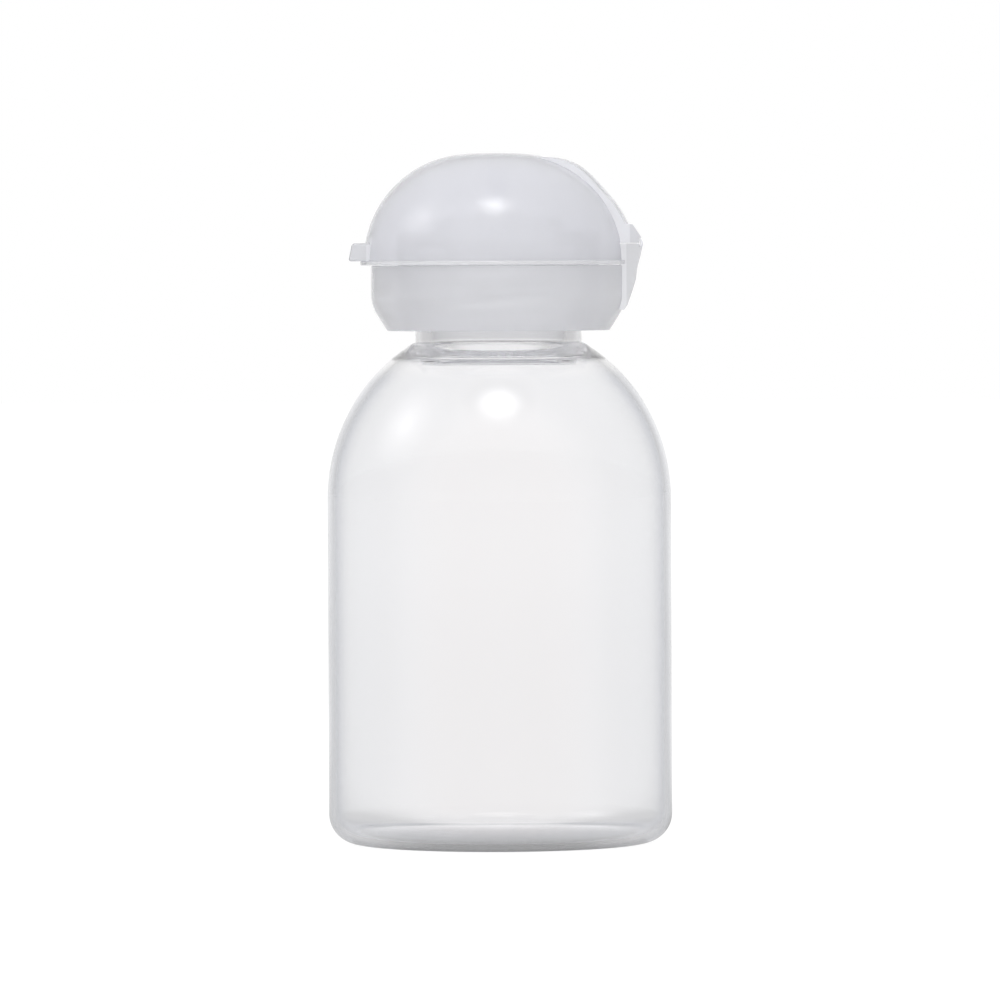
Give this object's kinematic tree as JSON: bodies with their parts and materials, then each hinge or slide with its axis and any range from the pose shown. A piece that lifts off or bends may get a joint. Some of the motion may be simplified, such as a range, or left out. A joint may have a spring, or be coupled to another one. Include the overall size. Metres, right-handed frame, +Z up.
{
  "type": "flip-top cosmetic bottle",
  "caption": "Round clear travel bottle with a domed shoulder and a milky flip-top screw cap that has a living hinge, thumb tab, nozzle and seal plug.",
  "frame": {"origin": "centre of the base, on the surface that the bottle stands on", "axes": "+Z up along the bottle's axis, +X towards the lid's hinge, -X towards the thumb tab"},
  "size_m": [0.0384, 0.0384, 0.0773],
  "materials": {
    "clear_bottle_plastic": "clear, glossy blow-moulded PET",
    "soft_seal_plastic": "soft natural polyethylene",
    "milky_core_plastic": "milky translucent natural polypropylene",
    "milky_cap_plastic": "milky translucent natural polypropylene, satin",
    "milky_film_plastic": "thin milky polypropylene film",
    "milky_lid_plastic": "milky translucent natural polypropylene, glossy"
  },
  "bodies": {
    "bottle": {"bottle": "clear_bottle_plastic"},
    "seal": {"seal_plug": "soft_seal_plastic"},
    "cap": {"cap_core": "milky_core_plastic", "cap_shell": "milky_cap_plastic", "living_hinge": "milky_film_plastic"},
    "lid": {"lid": "milky_lid_plastic"}
  },
  "joints": [
    {"name": "cap_lift", "type": "slide", "parent": "bottle", "child": "seal", "axis": [0, 0, 1], "range_m": [0, 0.009]},
    {"name": "cap_turn", "type": "hinge", "parent": "seal", "child": "cap", "pos_m": [0, 0, 0.0647], "axis": [0, 0, 1], "range_deg": [0, 1080]},
    {"name": "lid_hinge", "type": "hinge", "parent": "cap", "child": "lid", "pos_m": [0.01597, 0, 0.0671], "axis": [0, 1, 0], "range_deg": [0, 170], "deforming": ["living_hinge"]}
  ],
  "couplings": [
    {"joint": "cap_lift", "follows": "cap_turn", "m_per_rad": 0.00047746}
  ]
}
